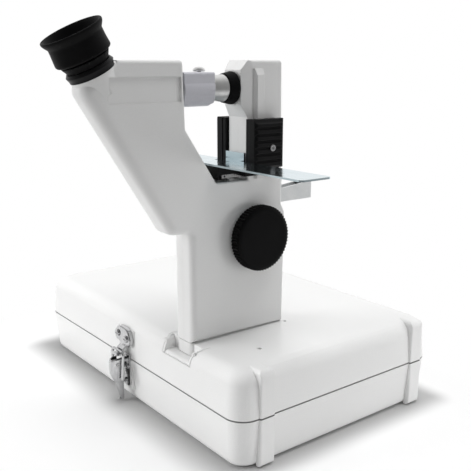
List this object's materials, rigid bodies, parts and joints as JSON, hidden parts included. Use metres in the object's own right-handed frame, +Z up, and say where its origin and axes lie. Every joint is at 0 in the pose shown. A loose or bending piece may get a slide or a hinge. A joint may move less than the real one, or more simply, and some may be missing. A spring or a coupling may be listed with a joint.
{
  "type": "handheld lensometer",
  "caption": "Battery lit lensometer with angled eyepiece, sprung lens holder, power knob and sliding lens table, standing on a hinged carrying case with a toggle latch",
  "frame": {"origin": "middle of the flat base of the carrying case", "axes": "+Z up; -Y is the user's side with the eyepiece and the latch; +X is to the user's right and is the case's length"},
  "size_m": [0.3128, 0.2698, 0.276],
  "materials": {
    "case_shell": "smooth light grey-white moulded plastic, satin",
    "body_white": "white satin paint on die-cast shells",
    "nickel": "nickel plated steel",
    "steel": "bright steel",
    "zinc": "zinc plated sheet with a bluish tint",
    "black_plastic": "matt black moulded plastic",
    "black_rubber": "soft black rubber",
    "black_anodised": "black anodised aluminium",
    "grey_paint": "grey satin paint",
    "grey_sheet": "grey painted sheet metal",
    "optical_glass": "coated optical glass",
    "mirror_glass": "front-surface mirror",
    "brass": "turned brass",
    "board": "circuit board",
    "lamp_white": "lamp body",
    "cell_wrap": "plain cell wrapper",
    "handle_grey": "grey moulded plastic"
  },
  "bodies": {
    "case": {"case_tray": "case_shell", "case_lid": "case_shell", "hinge_leaf_lower": "nickel", "hinge_leaf_upper": "nickel", "hinge_pins": "steel", "latch_strike": "nickel", "latch_base": "nickel", "latch_screws": "nickel", "case_screws": "nickel", "latch_pin": "steel", "handle_brackets": "nickel"},
    "latch_arm": {"latch_lever": "nickel"},
    "latch_loop": {"latch_bail": "nickel"},
    "handle": {"carry_handle": "handle_grey"},
    "instrument": {"body_shell_right": "body_white", "body_shell_left": "body_white", "column_foot": "body_white", "shell_screws": "steel", "eyepiece_mount": "black_anodised", "eyepiece_barrel": "black_anodised", "graticule": "optical_glass", "head_mirror": "mirror_glass", "head_mirror_seat": "black_plastic", "lens_block": "grey_paint", "objective_lens": "optical_glass", "presser_spring": "steel", "lens_stop": "black_plastic", "column_mirror": "mirror_glass", "column_mirror_seat": "black_plastic", "beam_tube": "black_anodised", "collimator_lens": "optical_glass", "guide_rods": "steel", "rod_plate": "black_anodised", "shaft_bush": "brass", "led_lamp": "lamp_white", "lamp_board": "board", "battery_holder": "black_plastic", "battery_cells": "cell_wrap", "switch_body": "black_plastic", "rear_bracket": "grey_sheet", "bracket_screw": "black_anodised"},
    "eye_ring": {"dioptre_ring": "black_plastic", "eyecup": "black_rubber"},
    "eye_optics": {"eye_lens_cell": "black_anodised", "eye_lens": "optical_glass"},
    "lens_holder": {"presser_tube": "steel", "presser_ring": "black_rubber", "presser_knob": "nickel"},
    "power_drive": {"power_knob": "black_plastic", "power_shaft": "steel"},
    "target": {"target_carrier": "black_anodised", "target_plate": "optical_glass"},
    "lamp_switch": {"switch_button": "black_plastic"},
    "table": {"lens_table": "zinc", "table_carriage": "black_plastic", "grip_right": "black_plastic", "grip_left": "black_plastic", "grip_screws": "nickel", "friction_strip": "steel", "carriage_strap": "steel"}
  },
  "joints": [
    {"name": "lift_off", "type": "slide", "parent": "case", "child": "instrument", "axis": [0, 0, 1], "range_m": [0, 0.03]},
    {"name": "latch_turn", "type": "hinge", "parent": "case", "child": "latch_arm", "pos_m": [0, -0.1015, 0.031], "axis": [-1, 0, 0], "range_deg": [0, 85]},
    {"name": "bail_turn", "type": "hinge", "parent": "latch_arm", "child": "latch_loop", "pos_m": [0, -0.1, 0.0204], "axis": [-1, 0, 0], "range_deg": [-47.6, 0]},
    {"name": "handle_swing", "type": "hinge", "parent": "case", "child": "handle", "pos_m": [-0.1456, 0, 0.022], "axis": [0, 1, 0], "range_deg": [0, 90]},
    {"name": "eyepiece_turn", "type": "hinge", "parent": "instrument", "child": "eye_ring", "pos_m": [0.0665, -0.1554, 0.2677], "axis": [0, -0.4555, 0.8902], "range_deg": [-120, 120]},
    {"name": "eyepiece_shift", "type": "slide", "parent": "instrument", "child": "eye_optics", "axis": [0, -0.4555, 0.8902], "range_m": [-0.003, 0.003]},
    {"name": "holder_pull", "type": "slide", "parent": "instrument", "child": "lens_holder", "axis": [0, -1, 0], "range_m": [0, 0.0068], "stiffness_N_per_m": 300, "springref_m": -0.006, "deforming": ["presser_spring"]},
    {"name": "power_turn", "type": "hinge", "parent": "instrument", "child": "power_drive", "pos_m": [0.0665, -0.0305, 0.133], "axis": [1, 0, 0], "range_deg": [-120, 120]},
    {"name": "target_shift", "type": "slide", "parent": "instrument", "child": "target", "axis": [0, 0, -1], "range_m": [-0.01255, 0.01255]},
    {"name": "switch_press", "type": "slide", "parent": "instrument", "child": "lamp_switch", "axis": [1, 0, 0], "range_m": [0, 0.0012], "stiffness_N_per_m": 800, "springref_m": -0.001},
    {"name": "table_height", "type": "slide", "parent": "instrument", "child": "table", "axis": [0, 0, 1], "range_m": [0, 0.022]}
  ],
  "couplings": [
    {"joint": "bail_turn", "follows": "latch_turn", "ratio": -0.56},
    {"joint": "eyepiece_turn", "follows": "eyepiece_shift", "rad_per_m": 698},
    {"joint": "power_turn", "follows": "target_shift", "rad_per_m": 166.67}
  ]
}
